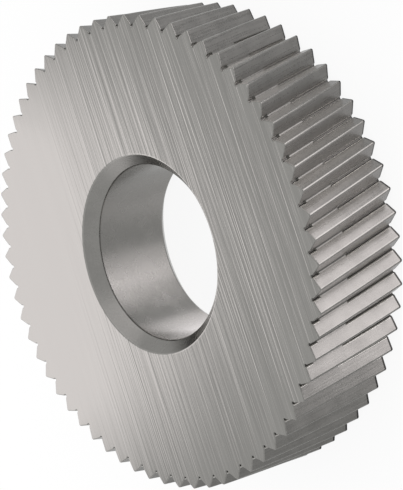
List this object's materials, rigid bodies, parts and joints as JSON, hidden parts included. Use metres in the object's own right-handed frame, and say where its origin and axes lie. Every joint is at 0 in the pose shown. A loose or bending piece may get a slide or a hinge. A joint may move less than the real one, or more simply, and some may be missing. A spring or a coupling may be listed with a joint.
{
  "type": "knurling wheel",
  "caption": "Flat steel knurling wheel with fine left-hand helical teeth round its rim and a plain countersunk bore.",
  "frame": {"origin": "centre of the back face, on the axis of the bore", "axes": "+Z along the axis, from the back face up to the front face; +X through the middle of a groove at the back face"},
  "size_m": [0.0214, 0.0215, 0.005],
  "materials": {
    "steel": "satin hardened steel, faces brushed in one direction"
  },
  "bodies": {
    "root": {"knurling_wheel": "steel"}
  },
  "joints": []
}
